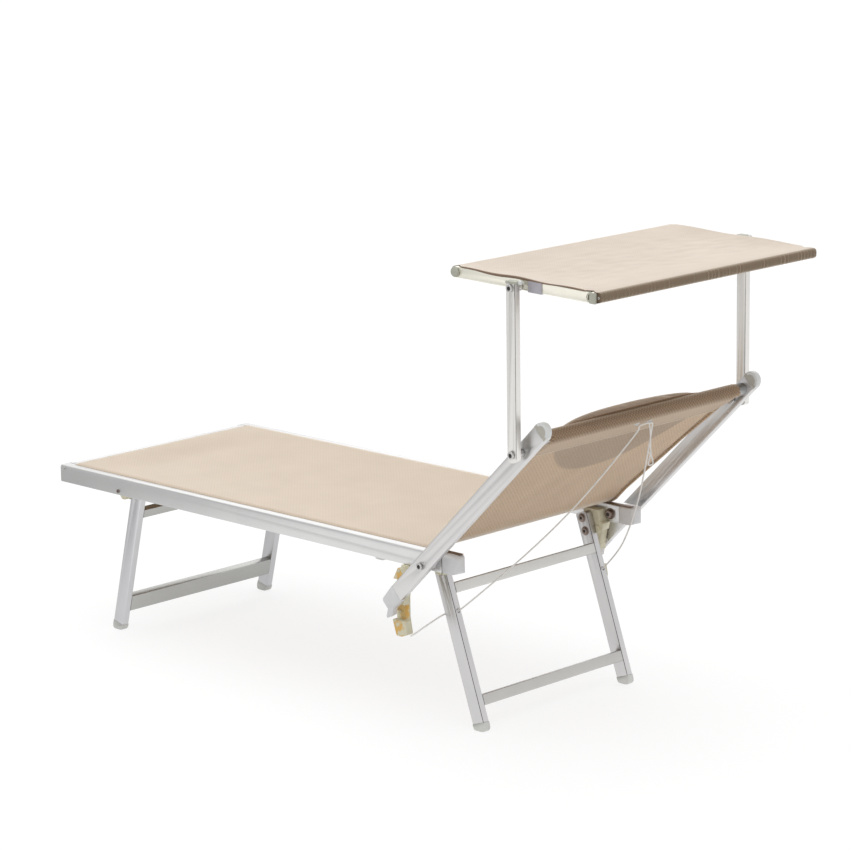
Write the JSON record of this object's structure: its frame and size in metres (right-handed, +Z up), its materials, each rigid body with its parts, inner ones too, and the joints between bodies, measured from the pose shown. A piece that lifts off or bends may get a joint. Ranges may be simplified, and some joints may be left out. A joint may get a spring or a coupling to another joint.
{
  "type": "sun lounger with canopy",
  "caption": "Folding beach lounger: metal tube frame on splayed legs, woven sling, reclining back with pillow, tilting fabric canopy on upright arms.",
  "frame": {"origin": "on the floor, under the middle of the overall length and width", "axes": "+X from the foot end to the head end, +Z up, Y across; the user's left side is at -Y"},
  "size_m": [1.7708, 0.7606, 1.0457],
  "materials": {
    "rail": "satin anodised",
    "leg": "satin anodised",
    "end_cap": "satin grey",
    "fastener": "plated",
    "cream_plastic": "moulded",
    "grey_plastic": "moulded",
    "dark_plastic": "moulded",
    "clear_plastic": "milky and glossy",
    "white_metal": "white enamel",
    "sling": "open plastic weave",
    "cloth": "woven cloth",
    "cord": "braided"
  },
  "bodies": {
    "seat_frame": {"seat_rail_left": "rail", "seat_rail_right": "rail", "rail_end_cap_left": "end_cap", "rail_end_cap_right": "end_cap", "foot_rail": "rail", "seat_sling": "sling", "front_leg_bracket_left": "cream_plastic", "front_leg_bracket_right": "cream_plastic", "rear_leg_bracket_left": "cream_plastic", "rear_leg_bracket_right": "cream_plastic", "backrest_bolt_left": "fastener", "backrest_bolt_right": "fastener", "backrest_spacer_left": "cream_plastic", "backrest_spacer_right": "cream_plastic", "ratchet_hanger_left": "cream_plastic", "ratchet_hanger_right": "cream_plastic"},
    "front_legs": {"front_leg_left": "leg", "front_leg_right": "leg", "front_foot_left": "grey_plastic", "front_foot_right": "grey_plastic", "front_lower_bar": "leg", "front_upper_bar": "leg"},
    "rear_legs": {"rear_leg_left": "leg", "rear_leg_right": "leg", "rear_foot_left": "grey_plastic", "rear_foot_right": "grey_plastic", "rear_lower_bar": "leg", "rear_upper_bar": "leg"},
    "left_ratchet": {"ratchet_left": "cream_plastic"},
    "right_ratchet": {"ratchet_right": "cream_plastic"},
    "backrest": {"back_rail_left": "rail", "back_rail_right": "rail", "back_rail_cap_left": "clear_plastic", "back_rail_cap_right": "clear_plastic", "back_rail_foot_left": "dark_plastic", "back_rail_foot_right": "dark_plastic", "top_tube": "leg", "back_sling": "sling", "head_pillow": "cloth", "release_cord": "cord", "pull_cord": "cord"},
    "canopy_arms": {"canopy_arm_left": "rail", "canopy_arm_right": "rail", "arm_pivot_left": "fastener", "arm_pivot_right": "fastener", "arm_plug_left": "grey_plastic", "arm_plug_right": "grey_plastic"},
    "canopy": {"canopy_rail_left": "white_metal", "canopy_rail_right": "white_metal", "canopy_foot_tube": "white_metal", "canopy_head_tube": "white_metal", "canopy_foot_plug_left": "grey_plastic", "canopy_foot_plug_right": "grey_plastic", "canopy_head_plug_left": "grey_plastic", "canopy_head_plug_right": "grey_plastic", "canopy_fabric": "cloth", "canopy_pivot_left": "fastener", "canopy_pivot_right": "fastener", "canopy_clamp_left": "dark_plastic", "canopy_clamp_right": "dark_plastic"}
  },
  "joints": [
    {"name": "backrest_recline", "type": "hinge", "parent": "seat_frame", "child": "backrest", "pos_m": [0.36459, 0, 0.378], "axis": [0, 1, 0], "range_deg": [-20, 44.5], "deforming": ["release_cord"]},
    {"name": "left_ratchet_swing", "type": "hinge", "parent": "seat_frame", "child": "left_ratchet", "pos_m": [0.28159, -0.3185, 0.35], "axis": [0, -1, 0], "range_deg": [0, 12], "deforming": ["release_cord"]},
    {"name": "right_ratchet_swing", "type": "hinge", "parent": "seat_frame", "child": "right_ratchet", "pos_m": [0.28159, 0.3185, 0.35], "axis": [0, -1, 0], "range_deg": [0, 12], "deforming": ["release_cord"]},
    {"name": "front_legs_fold", "type": "hinge", "parent": "seat_frame", "child": "front_legs", "pos_m": [-0.67541, 0, 0.368], "axis": [0, -1, 0], "range_deg": [0, 102]},
    {"name": "rear_legs_fold", "type": "hinge", "parent": "seat_frame", "child": "rear_legs", "pos_m": [0.31509, 0, 0.368], "axis": [0, 1, 0], "range_deg": [0, 106], "deforming": ["release_cord"]},
    {"name": "canopy_arms_swing", "type": "hinge", "parent": "backrest", "child": "canopy_arms", "pos_m": [0.66523, 0, 0.67343], "axis": [0, 1, 0], "range_deg": [-70, 45]},
    {"name": "canopy_tilt", "type": "hinge", "parent": "canopy_arms", "child": "canopy", "pos_m": [0.66523, 0, 1.02203], "axis": [0, 1, 0], "range_deg": [-60, 60]}
  ],
  "couplings": [
    {"joint": "right_ratchet_swing", "follows": "left_ratchet_swing", "ratio": 1}
  ]
}
